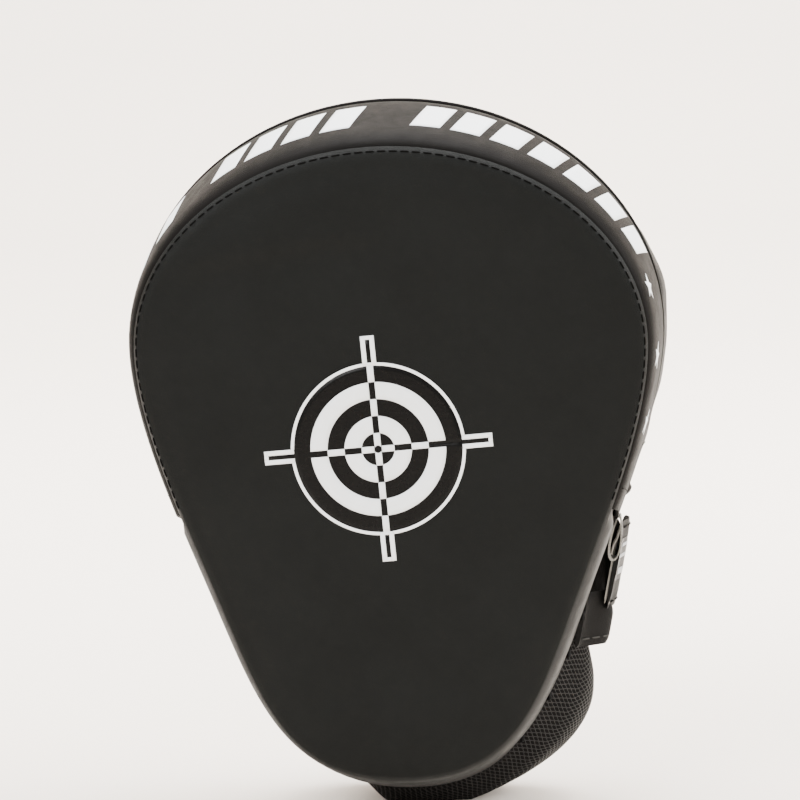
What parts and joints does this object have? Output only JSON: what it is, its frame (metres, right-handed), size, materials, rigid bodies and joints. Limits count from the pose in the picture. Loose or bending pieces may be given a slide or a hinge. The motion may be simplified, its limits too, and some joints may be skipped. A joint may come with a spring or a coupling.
{
  "type": "focus mitt",
  "caption": "Padded hand target for boxing: egg-shaped striking pad with a printed ring target, padded hand pocket, finger sleeves, wrist cuff and a hook-and-loop wrist strap.",
  "frame": {"origin": "middle of the flat underside of the wrist cuff, which the mitt stands on", "axes": "+Z towards the fingertips, -Y out of the striking face, +X to the wearer's thumb side"},
  "size_m": [0.208, 0.1104, 0.2821],
  "materials": {
    "black_leather": "matte grained synthetic leather",
    "satin_leather": "satin grained synthetic leather",
    "soft_foam": "open-cell cushion foam",
    "dense_foam": "closed-cell impact foam",
    "backer_board": "stiff fibre board",
    "print_film": "heat-transfer film, satin to gloss",
    "air_mesh": "knitted spacer mesh",
    "pocket_lining": "brushed polyester lining",
    "pale_tape": "pale woven tape",
    "fastening_tape": "hook-and-loop tape",
    "thread": "bonded black thread"
  },
  "bodies": {
    "pad": {"front_cover": "black_leather", "back_cover": "black_leather", "hood_cover": "black_leather", "finger_sleeve_index": "black_leather", "finger_sleeve_middle": "black_leather", "finger_sleeve_ring": "black_leather", "finger_sleeve_little": "black_leather", "thumb_sleeve": "black_leather", "palm_grip": "black_leather", "cuff_front_panel": "black_leather", "strap_gusset": "black_leather", "strap_anchor": "black_leather", "border_band": "satin_leather", "rear_piping": "satin_leather", "core_foam": "soft_foam", "hood_padding": "soft_foam", "cuff_foam": "soft_foam", "impact_foam": "dense_foam", "backer_board": "backer_board", "target_transfer": "print_film", "cuff_mesh_cover": "air_mesh", "hood_lining": "pocket_lining", "loop_tape": "fastening_tape", "edge_tack_left_1": "thread", "edge_tack_left_2": "thread", "edge_tack_left_3": "thread", "edge_tack_left_4": "thread", "edge_tack_right_1": "thread", "edge_tack_right_2": "thread", "edge_tack_right_3": "thread", "edge_tack_right_4": "thread"},
    "wrist_strap": {"wrist_strap": "black_leather", "strap_lining": "pocket_lining", "hook_tape": "fastening_tape"},
    "pull_tab": {"pull_tab": "black_leather", "tab_lining": "pale_tape", "tab_label": "print_film", "tab_loop": "pale_tape"}
  },
  "joints": [
    {"name": "strap_swing", "type": "hinge", "parent": "pad", "child": "wrist_strap", "pos_m": [-0.06735, 0.0062, 0.088], "axis": [-0.3381, 0, 0.9411], "range_deg": [0, 100]},
    {"name": "tab_peel", "type": "hinge", "parent": "wrist_strap", "child": "pull_tab", "pos_m": [0.08172, -0.00256, 0.088], "axis": [0.1878, 0, 0.9822], "range_deg": [0, 110]}
  ]
}
